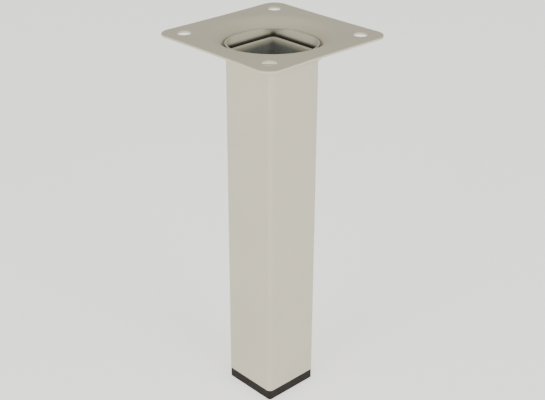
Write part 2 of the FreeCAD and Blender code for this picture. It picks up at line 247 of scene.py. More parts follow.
def square_loop(width, corner, level, bow=0.0):
    """Points round a rounded square. The sides curve in by bow at their middles."""
    half = width / 2
    reach = half - corner
    points = []
    for quarter in range(4):
        turn = Matrix.Rotation(quarter * pi / 2, 3, "Z")
        for i in range(ARC_STEPS + 1):
            angle = i * pi / 2 / ARC_STEPS
            points.append(turn @ Vector((reach + corner * cos(angle), reach + corner * sin(angle), level)))
        for i in range(1, SIDE_STEPS):
            along = 1 - 2 * i / SIDE_STEPS
            inward = bow * (1 - along * along)
            points.append(turn @ Vector((reach * along, half - inward, level)))
    return points


def turned_loop(radius_at, level):
    """Points in the same directions as a rounded square's, at the radius that each direction has."""
    reference = square_loop(2.0, 0.35, 0.0)
    directions = [atan2(point.y, point.x) for point in reference]
    return [Vector((radius_at(a) * cos(a), radius_at(a) * sin(a), level)) for a in directions]


def circle_loop(radius, level, steps=0):
    """Points round a circle, evenly spaced if a number of steps is given."""
    if not steps:
        return turned_loop(lambda angle: radius, level)
    angles = [2 * pi * i / steps for i in range(steps)]
    return [Vector((radius * cos(a), radius * sin(a), level)) for a in angles]


def hexagon_radius(flats, angle):
    """Distance from the centre to a hexagon's side in one direction, with a corner on the X axis."""
    return flats / 2 / cos((angle % (pi / 3)) - pi / 6)


def skin(mesh, loops, ends="open"):
    """Joins each loop of points to the next with quads. Ends are open, capped or joined to each other."""
    rings = [[mesh.verts.new(point) for point in loop] for loop in loops]
    pairs = list(zip(rings, rings[1:]))
    if ends == "joined":
        pairs.append((rings[-1], rings[0]))
    for lower, upper in pairs:
        count = len(lower)
        for i in range(count):
            after = (i + 1) % count
            mesh.faces.new((lower[i], lower[after], upper[after], upper[i]))
    if ends == "capped":
        mesh.faces.new(rings[0])
        mesh.faces.new(rings[-1])
    return rings


def new_piece(name, mesh, material, closed=True):
    """Turns built geometry into an object at the origin, smooth, with its faces outwards."""
    if closed:
        bmesh.ops.recalc_face_normals(mesh, faces=mesh.faces)
    for face in mesh.faces:
        face.smooth = True
    data = bpy.data.meshes.new(name)
    mesh.to_mesh(data)
    mesh.free()
    data.materials.append(material)
    piece = bpy.data.objects.new(name, data)
    bpy.context.scene.collection.objects.link(piece)
    return piece


def add_bevel(piece, width, angle=35, segments=3):
    """Rounds every edge that turns by more than the angle, and keeps the flats flat."""
    bevel = piece.modifiers.new("Edge Rounding", "BEVEL")
    bevel.width = width
    bevel.segments = segments
    bevel.limit_method = "ANGLE"
    bevel.angle_limit = radians(angle)
    bevel.harden_normals = True
    bevel.use_clamp_overlap = True
    return bevel


def settle(piece, body, slot, *nodes):
    """Gives a finished piece its body and hides the CAD nodes that it stands for; slot is not used."""
    if nodes:
        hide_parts(*nodes)
    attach(piece, body)


# Materials

def new_material(name):
    material = bpy.data.materials.new(name)
    material.use_nodes = True
    material.node_tree.nodes.clear()
    return material


def group_nodes(tree, label, *members):
    """A labelled frame round the nodes that make one effect."""
    group = tree.nodes.new("NodeFrame")
    group.label = label
    for member in members:
        member.parent = group
    return group


def powder_coat(name, tone, deep, reach, dark_below, clear_above):
    """Satin powder coat: drift of tone, orange peel, fine grit and shaded crevices."""
    material = new_material(name)
    tree = material.node_tree
    nodes, links = tree.nodes, tree.links

    place = nodes.new("ShaderNodeTexCoord")
    place.label = "Place on the Leg"
    place.location = (-1500, 100)

    drift = nodes.new("ShaderNodeTexNoise")
    drift.label = "Drift of Coat Thickness"
    drift.location = (-1200, 420)
    drift.inputs["Scale"].default_value = 38
    drift.inputs["Detail"].default_value = 3
    tones = nodes.new("ShaderNodeValToRGB")
    tones.label = "Coat Tones"
    tones.location = (-940, 420)
    tones.color_ramp.elements[0].position = 0.3
    tones.color_ramp.elements[0].color = (*deep, 1)
    tones.color_ramp.elements[1].position = 0.7
    tones.color_ramp.elements[1].color = (*tone, 1)
    group_nodes(tree, "Tone", drift, tones)

    # Painted shade: ambient occlusion darkens the coat's colour towards a dark brown in crevices and
    # recesses.
    hollow = nodes.new("ShaderNodeAmbientOcclusion")
    hollow.label = "Crevices"
    hollow.location = (-940, 780)
    hollow.samples = 8
    hollow.inputs["Distance"].default_value = reach
    crevice_shade_depth = nodes.new("ShaderNodeMapRange")
    crevice_shade_depth.label = "Depth of Crevice Shade"
    crevice_shade_depth.location = (-700, 780)
    crevice_shade_depth.inputs["From Min"].default_value = dark_below
    crevice_shade_depth.inputs["From Max"].default_value = clear_above
    crevice_shade_depth.inputs["To Min"].default_value = 0.06
    crevice_shade_depth.inputs["To Max"].default_value = 1.0
    shade = nodes.new("ShaderNodeMix")
    shade.label = "Shade Crevices"
    shade.location = (-440, 520)
    shade.data_type = "RGBA"
    shade.inputs["A"].default_value = (0.08, 0.075, 0.065, 1)
    group_nodes(tree, "Crevice Shade", hollow, crevice_shade_depth, shade)

    peel = nodes.new("ShaderNodeTexNoise")
    peel.label = "Orange Peel"
    peel.location = (-1200, 60)
    peel.inputs["Scale"].default_value = 900
    peel.inputs["Detail"].default_value = 2
    peel_bump = nodes.new("ShaderNodeBump")
    peel_bump.label = "Orange Peel Height"
    peel_bump.location = (-440, 60)
    peel_bump.inputs["Strength"].default_value = 0.16
    peel_bump.inputs["Distance"].default_value = 0.05 * MM
    grit = nodes.new("ShaderNodeTexNoise")
    grit.label = "Powder Grit"
    grit.location = (-1200, -240)
    grit.inputs["Scale"].default_value = 4200
    grit.inputs["Detail"].default_value = 1
    grit_bump = nodes.new("ShaderNodeBump")
    grit_bump.label = "Grit Height"
    grit_bump.location = (-440, -200)
    grit_bump.inputs["Strength"].default_value = 0.10
    grit_bump.inputs["Distance"].default_value = 0.012 * MM
    group_nodes(tree, "Surface Relief", peel, peel_bump, grit, grit_bump)

    gloss = nodes.new("ShaderNodeMapRange")
    gloss.label = "Satin Gloss"
    gloss.location = (-700, -480)
    gloss.inputs["To Min"].default_value = 0.40
    gloss.inputs["To Max"].default_value = 0.54
    group_nodes(tree, "Gloss", gloss)

    shader = nodes.new("ShaderNodeBsdfPrincipled")
    shader.label = "Coat"
    shader.location = (-120, 300)
    shader.inputs["Specular IOR Level"].default_value = 0.4
    output = nodes.new("ShaderNodeOutputMaterial")
    output.location = (220, 300)

    for texture in (drift, peel, grit):
        links.new(place.outputs["Object"], texture.inputs["Vector"])
    links.new(drift.outputs["Fac"], tones.inputs["Fac"])
    links.new(hollow.outputs["AO"], crevice_shade_depth.inputs["Value"])
    links.new(crevice_shade_depth.outputs["Result"], shade.inputs["Factor"])
    links.new(tones.outputs["Color"], shade.inputs["B"])
    links.new(shade.outputs["Result"], shader.inputs["Base Color"])
    links.new(peel.outputs["Fac"], peel_bump.inputs["Height"])
    links.new(grit.outputs["Fac"], grit_bump.inputs["Height"])
    links.new(grit_bump.outputs["Normal"], peel_bump.inputs["Normal"])
    links.new(peel_bump.outputs["Normal"], shader.inputs["Normal"])
    links.new(peel.outputs["Fac"], gloss.inputs["Value"])
    links.new(gloss.outputs["Result"], shader.inputs["Roughness"])
    links.new(shader.outputs["BSDF"], output.inputs["Surface"])
    return material


def add_coat_fade_and_depth_shade(material, bare, rim, fade):
    """Fades a powder coat downwards below rim to a darker colour: inside the tube this is the coat's real
    run-out to bare steel, where the spray can't reach; in the collar's mouth it is painted shade.
    """
    tree = material.node_tree
    nodes, links = tree.nodes, tree.links
    by_label = {node.label: node for node in nodes}
    place, shade, shader = by_label["Place on the Leg"], by_label["Shade Crevices"], by_label["Coat"]

    split = nodes.new("ShaderNodeSeparateXYZ")
    split.label = "Height on the Leg"
    split.location = (-940, 1080)
    reach = nodes.new("ShaderNodeMapRange")
    reach.label = "Height of Coat Fade and Shade"
    reach.location = (-700, 1080)
    reach.interpolation_type = "SMOOTHSTEP"
    reach.inputs["From Min"].default_value = rim - fade
    reach.inputs["From Max"].default_value = rim
    scale = nodes.new("ShaderNodeTexNoise")
    scale.label = "Steel and Shade Mottle"
    scale.location = (-940, 1300)
    scale.inputs["Scale"].default_value = 420
    scale.inputs["Detail"].default_value = 5
    steel = nodes.new("ShaderNodeValToRGB")
    steel.label = "Bare Steel and Shade Tones"
    steel.location = (-700, 1300)
    steel.color_ramp.elements[0].color = (*[0.6 * channel for channel in bare], 1)
    steel.color_ramp.elements[1].color = (*[1.4 * channel for channel in bare], 1)
    # Inside the tube this mix is the coat's real run-out. In the collar's mouth it paints shade.
    coat_fade_and_shade = nodes.new("ShaderNodeMix")
    coat_fade_and_shade.label = "Coat Fade and Painted Shade"
    coat_fade_and_shade.location = (-300, 900)
    coat_fade_and_shade.data_type = "RGBA"
    group_nodes(tree, "Coat Fade and Depth Shade", split, reach, scale, steel, coat_fade_and_shade)

    links.new(place.outputs["Object"], split.inputs["Vector"])
    links.new(place.outputs["Object"], scale.inputs["Vector"])
    links.new(split.outputs["Z"], reach.inputs["Value"])
    links.new(scale.outputs["Fac"], steel.inputs["Fac"])
    links.new(reach.outputs["Result"], coat_fade_and_shade.inputs["Factor"])
    links.new(steel.outputs["Color"], coat_fade_and_shade.inputs["A"])
    links.new(shade.outputs["Result"], coat_fade_and_shade.inputs["B"])
    links.new(coat_fade_and_shade.outputs["Result"], shader.inputs["Base Color"])
    return material


def add_painted_corner_shade(material, bare, clear, dark):
    """Paints shade into the corners of the collar's mouth, where it reaches furthest from the leg's axis;
    bare is the near-black colour of that painted shade.
    """
    tree = material.node_tree
    nodes, links = tree.nodes, tree.links
    by_label = {node.label: node for node in nodes}
    place, coat_fade_and_shade, shader = by_label["Place on the Leg"], by_label["Coat Fade and Painted Shade"], by_label["Coat"]

    level = nodes.new("ShaderNodeVectorMath")
    level.label = "Drop the Height"
    level.location = (-940, 1620)
    level.operation = "MULTIPLY"
    level.inputs[1].default_value = (1, 1, 0)
    away = nodes.new("ShaderNodeVectorMath")
    away.label = "Distance from the Axis"
    away.location = (-700, 1620)
    away.operation = "LENGTH"
    undercut = nodes.new("ShaderNodeMapRange")
    undercut.label = "Undercut Corner"
    undercut.location = (-460, 1620)
    undercut.inputs["From Min"].default_value = clear
    undercut.inputs["From Max"].default_value = dark
    undercut.inputs["To Min"].default_value = 1.0
    undercut.inputs["To Max"].default_value = 0.0
    corner_shade_mix = nodes.new("ShaderNodeMix")
    corner_shade_mix.label = "Paint Shade into the Corners"
    corner_shade_mix.location = (-120, 900)
    corner_shade_mix.data_type = "RGBA"
    corner_shade_mix.inputs["A"].default_value = (*bare, 1)
    group_nodes(tree, "Painted Corner Shade", level, away, undercut, corner_shade_mix)

    links.new(place.outputs["Object"], level.inputs[0])
    links.new(level.outputs["Vector"], away.inputs[0])
    links.new(away.outputs["Value"], undercut.inputs["Value"])
    links.new(undercut.outputs["Result"], corner_shade_mix.inputs["Factor"])
    links.new(coat_fade_and_shade.outputs["Result"], corner_shade_mix.inputs["B"])
    links.new(corner_shade_mix.outputs["Result"], shader.inputs["Base Color"])
    return material


def moulded_plastic(name, tone, light):
    """Matt moulded plastic: spark-eroded grain, faint flow marks and uneven gloss."""
    material = new_material(name)
    tree = material.node_tree
    nodes, links = tree.nodes, tree.links

    place = nodes.new("ShaderNodeTexCoord")
    place.label = "Place on the Moulding"
    place.location = (-1400, 100)

    flow = nodes.new("ShaderNodeTexNoise")
    flow.label = "Flow Marks"
    flow.location = (-1120, 360)
    flow.inputs["Scale"].default_value = 120
    flow.inputs["Detail"].default_value = 4
    flow.inputs["Distortion"].default_value = 1.2
    tones = nodes.new("ShaderNodeValToRGB")
    tones.label = "Plastic Tones"
    tones.location = (-860, 360)
    tones.color_ramp.elements[0].position = 0.35
    tones.color_ramp.elements[0].color = (*tone, 1)
    tones.color_ramp.elements[1].position = 0.75
    tones.color_ramp.elements[1].color = (*light, 1)
    group_nodes(tree, "Tone", flow, tones)

    grain = nodes.new("ShaderNodeTexVoronoi")
    grain.label = "Mould Grain"
    grain.location = (-1120, 0)
    grain.inputs["Scale"].default_value = 2600
    pores = nodes.new("ShaderNodeTexNoise")
    pores.label = "Fine Pores"
    pores.location = (-1120, -260)
    pores.inputs["Scale"].default_value = 6000
    pores.inputs["Detail"].default_value = 2
    pore_bump = nodes.new("ShaderNodeBump")
    pore_bump.label = "Pore Depth"
    pore_bump.location = (-600, -240)
    pore_bump.inputs["Strength"].default_value = 0.2
    pore_bump.inputs["Distance"].default_value = 0.015 * MM
    grain_bump = nodes.new("ShaderNodeBump")
    grain_bump.label = "Grain Height"
    grain_bump.location = (-360, 0)
    grain_bump.inputs["Strength"].default_value = 0.35
    grain_bump.inputs["Distance"].default_value = 0.03 * MM
    group_nodes(tree, "Moulded Surface", grain, pores, pore_bump, grain_bump)

    gloss = nodes.new("ShaderNodeMapRange")
    gloss.label = "Uneven Gloss"
    gloss.location = (-600, -520)
    gloss.inputs["To Min"].default_value = 0.42
    gloss.inputs["To Max"].default_value = 0.62
    group_nodes(tree, "Gloss", gloss)

    shader = nodes.new("ShaderNodeBsdfPrincipled")
    shader.label = "Plastic"
    shader.location = (-80, 240)
    shader.inputs["Specular IOR Level"].default_value = 0.12
    output = nodes.new("ShaderNodeOutputMaterial")
    output.location = (240, 240)

    for texture in (flow, grain, pores):
        links.new(place.outputs["Object"], texture.inputs["Vector"])
    links.new(flow.outputs["Fac"], tones.inputs["Fac"])
    links.new(tones.outputs["Color"], shader.inputs["Base Color"])
    links.new(pores.outputs["Fac"], pore_bump.inputs["Height"])
    links.new(grain.outputs["Distance"], grain_bump.inputs["Height"])
    links.new(pore_bump.outputs["Normal"], grain_bump.inputs["Normal"])
    links.new(grain_bump.outputs["Normal"], shader.inputs["Normal"])
    links.new(flow.outputs["Fac"], gloss.inputs["Value"])
    links.new(gloss.outputs["Result"], shader.inputs["Roughness"])
    links.new(shader.outputs["BSDF"], output.inputs["Surface"])
    return material


def zinc_plate(name, tone, tint):
    """Zinc-plated steel: turning marks round the axis, cloudy passivation and a satin shine."""
    material = new_material(name)
    tree = material.node_tree
    nodes, links = tree.nodes, tree.links

    place = nodes.new("ShaderNodeTexCoord")
    place.label = "Place on the Steel"
    place.location = (-1400, 100)

    cloud = nodes.new("ShaderNodeTexNoise")
    cloud.label = "Passivation Clouds"
    cloud.location = (-1120, 360)
    cloud.inputs["Scale"].default_value = 260
    cloud.inputs["Detail"].default_value = 4
    tones = nodes.new("ShaderNodeValToRGB")
    tones.label = "Zinc Tones"
    tones.location = (-860, 360)
    tones.color_ramp.elements[0].position = 0.38
    tones.color_ramp.elements[0].color = (*tone, 1)
    tones.color_ramp.elements[1].position = 0.68
    tones.color_ramp.elements[1].color = (*tint, 1)
    group_nodes(tree, "Tone", cloud, tones)

    stretch = nodes.new("ShaderNodeMapping")
    stretch.label = "Stretch Round the Axis"
    stretch.location = (-1120, 20)
    stretch.inputs["Scale"].default_value = (0.25, 0.25, 6.0)
    marks = nodes.new("ShaderNodeTexNoise")
    marks.label = "Turning Marks"
    marks.location = (-860, 20)
    marks.inputs["Scale"].default_value = 900
    marks.inputs["Detail"].default_value = 3
    mark_bump = nodes.new("ShaderNodeBump")
    mark_bump.label = "Mark Depth"
    mark_bump.location = (-440, 20)
    mark_bump.inputs["Strength"].default_value = 0.12
    mark_bump.inputs["Distance"].default_value = 0.02 * MM
    gloss = nodes.new("ShaderNodeMapRange")
    gloss.label = "Satin Shine"
    gloss.location = (-440, -220)
    gloss.inputs["To Min"].default_value = 0.26
    gloss.inputs["To Max"].default_value = 0.46
    group_nodes(tree, "Turning Marks", stretch, marks, mark_bump, gloss)

    shader = nodes.new("ShaderNodeBsdfPrincipled")
    shader.label = "Zinc"
    shader.location = (-80, 240)
    shader.inputs["Metallic"].default_value = 1.0
    output = nodes.new("ShaderNodeOutputMaterial")
    output.location = (240, 240)

    links.new(place.outputs["Object"], cloud.inputs["Vector"])
    links.new(place.outputs["Object"], stretch.inputs["Vector"])
    links.new(stretch.outputs["Vector"], marks.inputs["Vector"])
    links.new(cloud.outputs["Fac"], tones.inputs["Fac"])
    links.new(tones.outputs["Color"], shader.inputs["Base Color"])
    links.new(marks.outputs["Fac"], mark_bump.inputs["Height"])
    links.new(mark_bump.outputs["Normal"], shader.inputs["Normal"])
    links.new(marks.outputs["Fac"], gloss.inputs["Value"])
    links.new(gloss.outputs["Result"], shader.inputs["Roughness"])
    links.new(shader.outputs["BSDF"], output.inputs["Surface"])
    return material


def floor_paint(name, tone):
    """Plain matt floor with a barely visible mottle."""
    material = new_material(name)
    tree = material.node_tree
    nodes, links = tree.nodes, tree.links
    place = nodes.new("ShaderNodeTexCoord")
    place.label = "Place on the Floor"
    place.location = (-900, 0)
    mottle = nodes.new("ShaderNodeTexNoise")
    mottle.label = "Faint Mottle"
    mottle.location = (-680, 0)
    mottle.inputs["Scale"].default_value = 3
    tones = nodes.new("ShaderNodeValToRGB")
    tones.label = "Floor Tones"
    tones.location = (-440, 0)
    tones.color_ramp.elements[0].color = (*[0.985 * channel for channel in tone], 1)
    tones.color_ramp.elements[1].color = (*tone, 1)
    shader = nodes.new("ShaderNodeBsdfPrincipled")
    shader.label = "Floor"
    shader.location = (-120, 0)
    shader.inputs["Roughness"].default_value = 0.9
    shader.inputs["Specular IOR Level"].default_value = 0.1
    shader.inputs["Emission Strength"].default_value = 0.9
    shader.inputs["Emission Color"].default_value = (1, 1, 1, 1)
    output = nodes.new("ShaderNodeOutputMaterial")
    output.location = (200, 0)
    links.new(place.outputs["Object"], mottle.inputs["Vector"])
    links.new(mottle.outputs["Fac"], tones.inputs["Fac"])
    links.new(tones.outputs["Color"], shader.inputs["Base Color"])
    links.new(shader.outputs["BSDF"], output.inputs["Surface"])
    return material


def finish_named(name):
    """A finish of the leg, made when it is first asked for."""
    if name in bpy.data.materials:
        return bpy.data.materials[name]
    colours = bpy.context.scene.leg_colours
    if name == "coated_steel":
        return powder_coat(name, colours.coat, colours.coat_deep, OPEN_REACH, 0.10, 0.60)
    if name == "coated_collar":
        return powder_coat(name, colours.coat, colours.coat_deep, MOUTH_REACH, 0.50, 0.95)
    if name == "tube_inside":
        coat = powder_coat(name, colours.coat, colours.coat_deep, OPEN_REACH, 0.10, 0.60)
        return add_coat_fade_and_depth_shade(coat, colours.bare_steel, TUBE_HIGH[2], 2.6 * MM)
    if name == "mouth_coat_painted_shade":
        # Painted shade: the mouth's coat darkens to near black below 4.8 mm under the plate's face and at the
        # corners furthest from the axis.
        coat = powder_coat(name, colours.coat, colours.coat_deep, MOUTH_REACH, 0.40, 0.90)
        sizes = bpy.context.scene.leg_plate
        half = (TUBE_HIGH[0] - TUBE_LOW[0]) / 2 + sizes.throat_gap
        deepest = (half - sizes.throat_corner) * sqrt(2) + sizes.throat_corner
        coat = add_coat_fade_and_depth_shade(coat, colours.painted_throat_shade, PLATE_HIGH[2] - 4.8 * MM, 1.4 * MM)
        return add_painted_corner_shade(coat, colours.painted_throat_shade, deepest - 0.25 * MM, deepest - 0.05 * MM)
    if name == "foot_moulding":
        return moulded_plastic(name, colours.foot, colours.foot_light)
    if name == "plug_moulding":
        return moulded_plastic(name, colours.plug, colours.plug_light)
    return zinc_plate("zinc_steel", colours.zinc, colours.zinc_tint)


# Pieces

class LEG_OT_stage(bpy.types.Operator):
    """Set up the camera, the pale floor and soft studio light"""

    bl_idname = "furniture_leg.stage"
    bl_label = "Stage"

    def execute(self, context):
        view = context.scene.leg_view
        azimuth, elevation, roll = view.azimuth, view.elevation, view.roll
        back = Vector((sin(azimuth) * cos(elevation), -cos(azimuth) * cos(elevation), sin(elevation)))
        right = Vector((cos(azimuth), sin(azimuth), 0))
        up = back.cross(right)
        middle = Vector((0, 0, (CAD_BOX[0][2] + CAD_BOX[1][2]) / 2))
        data = bpy.data.cameras.new("leg_camera")
        data.lens = view.lens
        data.sensor_width = 36
        data.clip_start = 0.01
        data.shift_x, data.shift_y = view.shift
        camera = bpy.data.objects.new("leg_camera", data)
        context.scene.collection.objects.link(camera)
        tilted_right = cos(roll) * right + sin(roll) * up
        tilted_up = cos(roll) * up - sin(roll) * right
        turn = Matrix((tilted_right, tilted_up, back)).transposed().to_4x4()
        stand = middle + view.distance * back + view.aside * right + view.above * up
        camera.matrix_world = Matrix.Translation(stand) @ turn
        context.scene.camera = camera

        mesh = bmesh.new()
        bmesh.ops.create_grid(mesh, x_segments=4, y_segments=4, size=FLOOR_HALF)
        paint = floor_paint("floor_paint", context.scene.leg_colours.floor)
        floor = new_piece("studio_floor", mesh, paint, False)

        world = bpy.data.worlds.new("studio_sky")
        world.use_nodes = True
        sky = world.node_tree.nodes["Background"]
        sky.inputs["Color"].default_value = (*view.light_tint, 1)
        sky.inputs["Strength"].default_value = view.sky
        context.scene.world = world
        for name, aside in (("softbox_left", -view.light_aside), ("softbox_right", view.light_aside)):
            light = bpy.data.lights.new(name, "AREA")
            light.energy = view.front_light
            light.color = view.light_tint
            light.shape = "SQUARE"
            light.size = view.light_size
            lamp = bpy.data.objects.new(name, light)
            context.scene.collection.objects.link(lamp)
            heading = azimuth + aside
            spot = Vector((view.light_away * sin(heading), -view.light_away * cos(heading), view.light_high))
            lamp.location = spot
            lamp.rotation_euler = (spot - middle).to_track_quat("Z", "Y").to_euler()
        return {"FINISHED"}


class LEG_OT_plate(bpy.types.Operator):
    """Make the pressed mounting plate: flat rim, screw holes and round dish"""

    bl_idname = "furniture_leg.plate"
    bl_label = "Mounting Plate"

    def execute(self, context):
        sizes = context.scene.leg_plate
        top = PLATE_HIGH[2]
        width = PLATE_HIGH[0] - PLATE_LOW[0]
        mesh = bmesh.new()
        profile = self.dish_profile(sizes)
        inner = profile[0][0] - 0.3 * MM
        even = circle_loop(1.0, 0.0, ROUND_STEPS)
        loops = [[self.opening_point(point, sizes, inner, top) for point in even]]
        for radius, depth in profile:
            loops.append(circle_loop(radius, top - depth, ROUND_STEPS))
        rings = skin(mesh, loops)
        outline = self.closed_edges(mesh, square_loop(width, sizes.corner, top, sizes.bow))
        edges = outline + [mesh.edges.get((a, b)) for a, b in zip(rings[-1], rings[-1][1:] + rings[-1][:1])]
        half = sizes.pitch / 2
        for x in (-half, half):
            for y in (-half, half):
                ring = [point + Vector((x, y, 0)) for point in circle_loop(sizes.hole / 2, top, HOLE_STEPS)]
                edges += self.closed_edges(mesh, ring)
        bmesh.ops.triangle_fill(mesh, use_beauty=True, use_dissolve=False, edges=edges, normal=(0, 0, 1))
        bmesh.ops.recalc_face_normals(mesh, faces=mesh.faces)
        if sum(face.normal.z for face in mesh.faces) < 0:
            bmesh.ops.reverse_faces(mesh, faces=mesh.faces)
        plate = new_piece("mounting_plate_sheet", mesh, finish_named("coated_steel"), False)
        wall = plate.modifiers.new("Sheet", "SOLIDIFY")
        wall.thickness = sizes.sheet
        wall.offset = -1
        wall.use_even_offset = True
        add_bevel(plate, PLATE_EDGE, 50)
        settle(plate, "leg", "powder_coat", "mounting_plate")
        return {"FINISHED"}

    @staticmethod
    def opening_point(direction, sizes, inner, top):
        """A point of the hole's edge under the collar's lip: a square rounded off by a circle."""
        across = sizes.opening / 2 / max(abs(direction.x), abs(direction.y))
        return Vector((*(direction.xy * min(across, inner)), top - sizes.depth))

    @staticmethod
    def dish_profile(sizes):
        """Radius and depth down the dish, from its floor's edge up to its rim."""
        slope = DISH_SLOPE
        shoulder = []
        for i in range(SHOULDER_STEPS + 1):
            angle = slope * i / SHOULDER_STEPS
            shoulder.append((sizes.dish_rim - sizes.shoulder * sin(angle), sizes.shoulder * (1 - cos(angle))))
        root_top = sizes.depth - sizes.root * (1 - cos(slope))
        run = (root_top - shoulder[-1][1]) * cos(slope) / sin(slope)
        foot = shoulder[-1][0] - run
        root = []
        for i in range(ROOT_STEPS + 1):
            angle = slope * i / ROOT_STEPS
            radius = foot - sizes.root * (sin(slope) - sin(angle))
            root.append((radius, sizes.depth - sizes.root * (1 - cos(angle))))
        return root + shoulder[::-1]

    @staticmethod
    def closed_edges(mesh, points):
        verts = [mesh.verts.new(point) for point in points]
        return [mesh.edges.new((a, b)) for a, b in zip(verts, verts[1:] + verts[:1])]


class LEG_OT_collar(bpy.types.Operator):
    """Make the flared collar that joins the tube to the plate"""

    bl_idname = "furniture_leg.collar"
    bl_label = "Neck Collar"

    def execute(self, context):
        sizes, tube = context.scene.leg_plate, context.scene.leg_tube
        top = PLATE_HIGH[2]
        bottom = COLLAR_LOW[2]
        tube_width = TUBE_HIGH[0] - TUBE_LOW[0]
        throat, throat_corner = tube_width + 2 * sizes.throat_gap, sizes.throat_corner
        grip = top - sizes.grip_depth
        loops = []
        for i in range(MOUTH_STEPS + 1):
            angle = i * pi / 2 / MOUTH_STEPS
            width = sizes.mouth_width - (sizes.mouth_width - throat) * cos(angle)
            corner = sizes.mouth_corner - (sizes.mouth_corner - throat_corner) * cos(angle)
            depth = sizes.throat_depth - (sizes.throat_depth - sizes.lip_depth) * sin(angle)
            loops.append(square_loop(width, corner, top - depth))
        loops.insert(0, square_loop(throat, throat_corner, grip))
        held = tube_width + 2 * sizes.grip_gap
        loops.insert(0, square_loop(held, tube.corner, grip))
        seat = top - sizes.depth
        under = seat - sizes.sheet
        loops.append(square_loop(sizes.lip_width, sizes.lip_corner, top - sizes.lip_depth))
        loops.append(square_loop(sizes.lip_width, sizes.lip_corner, seat))
        bead = under - sizes.bead_height
        loops.append(square_loop(sizes.barrel_width, sizes.barrel_corner, seat))
        loops.append(square_loop(sizes.barrel_width, sizes.barrel_corner, under))
        loops.append(square_loop(sizes.bead_width, sizes.bead_corner, under))
        loops.append(square_loop(sizes.bead_width, sizes.bead_corner, bead))
        loops.append(square_loop(sizes.skirt_width, sizes.skirt_corner, bead))
        loops.append(square_loop(sizes.skirt_width, sizes.skirt_corner, bottom))
        loops.append(square_loop(held, tube.corner, bottom))
        mesh = bmesh.new()
        rings = skin(mesh, loops, "joined")
        # The mouth's faces take the second finish, which carries the painted shade.
        mouth = {vertex for ring in rings[:MOUTH_STEPS + 3] for vertex in ring}
        for face in mesh.faces:
            face.material_index = int(all(vertex in mouth for vertex in face.verts))
        collar = new_piece("neck_collar_ring", mesh, finish_named("coated_collar"))
        collar.data.materials.append(finish_named("mouth_coat_painted_shade"))
        add_bevel(collar, COLLAR_EDGE, 50)
        settle(collar, "leg", "powder_coat", "neck_collar")
        return {"FINISHED"}


class LEG_OT_tube(bpy.types.Operator):
    """Make the square leg tube with its cut ends"""

    bl_idname = "furniture_leg.tube"
    bl_label = "Leg Tube"

    def execute(self, context):
        sizes = context.scene.leg_tube
        width = TUBE_HIGH[0] - TUBE_LOW[0]
        low, high = TUBE_LOW[2], TUBE_HIGH[2]
        mesh = bmesh.new()
        levels = [low + (high - low) * i / TUBE_STEPS for i in range(TUBE_STEPS + 1)]
        outside = [square_loop(width, sizes.corner, level) for level in levels]
        hollow, hollow_corner = width - 2 * sizes.wall, sizes.corner - sizes.wall
        inside = [square_loop(hollow, hollow_corner, level) for level in reversed(levels)]
        rings = skin(mesh, outside + inside, "joined")
        hidden = {vertex for ring in rings[len(levels):] for vertex in ring}
        for face in mesh.faces:
            face.material_index = int(all(vertex in hidden for vertex in face.verts))
        tube = new_piece("leg_tube_shell", mesh, finish_named("coated_steel"))
        tube.data.materials.append(finish_named("tube_inside"))
        add_bevel(tube, TUBE_EDGE, 50)
        settle(tube, "leg", "powder_coat", "leg_tube")
        return {"FINISHED"}


class LEG_OT_foot(bpy.types.Operator):
    """Make the moulded foot: base, hollow guide, bearing well and slide ribs"""

    bl_idname = "furniture_leg.foot"
    bl_label = "Foot"

    def execute(self, context):
        sizes = context.scene.leg_tube
        width = PAD_HIGH[0] - PAD_LOW[0]
        floor, crown = PAD_LOW[2], PAD_HIGH[2]
        step = floor + sizes.base
        hollow = sizes.guide - 2 * sizes.guide_wall
        seat, well = floor + sizes.seat_level, floor + sizes.well_level
        corner, taper = sizes.guide_corner, 1.2 * MM
        loops = [
            square_loop(width, sizes.base_corner, floor),
            square_loop(width, sizes.base_corner, step),
            square_loop(sizes.guide, corner, step),
            square_loop(sizes.guide, corner, crown - taper),
            square_loop(sizes.guide - 0.8 * MM, 0.8 * MM, crown),
            square_loop(hollow, corner, crown),
            square_loop(hollow, corner, well),
            circle_loop(sizes.well, well),
            circle_loop(sizes.well, seat),
            circle_loop(sizes.key_way, seat),
            circle_loop(sizes.key_way, floor + 0.5 * MM),
            circle_loop(sizes.key_way + 0.5 * MM, floor),
        ]
        mesh = bmesh.new()
        skin(mesh, loops, "joined")
        foot = new_piece("foot_moulding_body", mesh, finish_named("foot_moulding"))
        add_bevel(foot, FOOT_EDGE, 30)
        settle(foot, "foot", "foot_plastic", "foot_pad")
        self.add_ribs(sizes, step + 0.8 * MM, crown - 1.6 * MM)
        return {"FINISHED"}

    @staticmethod
    def add_ribs(sizes, low, high):
        """Two slide ribs on each side of the guide, which fill its clearance in the tube."""
        mesh = bmesh.new()
        for quarter in range(4):
            turn = Matrix.Rotation(quarter * pi / 2, 4, "Z")
            for along in (-6.2 * MM, 6.2 * MM):
                middle = Vector((sizes.guide / 2, along, (low + high) / 2))
                shape = Matrix.Diagonal((0.4 * MM, 1.2 * MM, high - low, 1))
                bmesh.ops.create_cube(mesh, size=1, matrix=turn @ Matrix.Translation(middle) @ shape)
        ribs = new_piece("foot_slide_ribs", mesh, finish_named("foot_moulding"))
        add_bevel(ribs, FINE_EDGE, 30)
        settle(ribs, "foot", "foot_plastic")


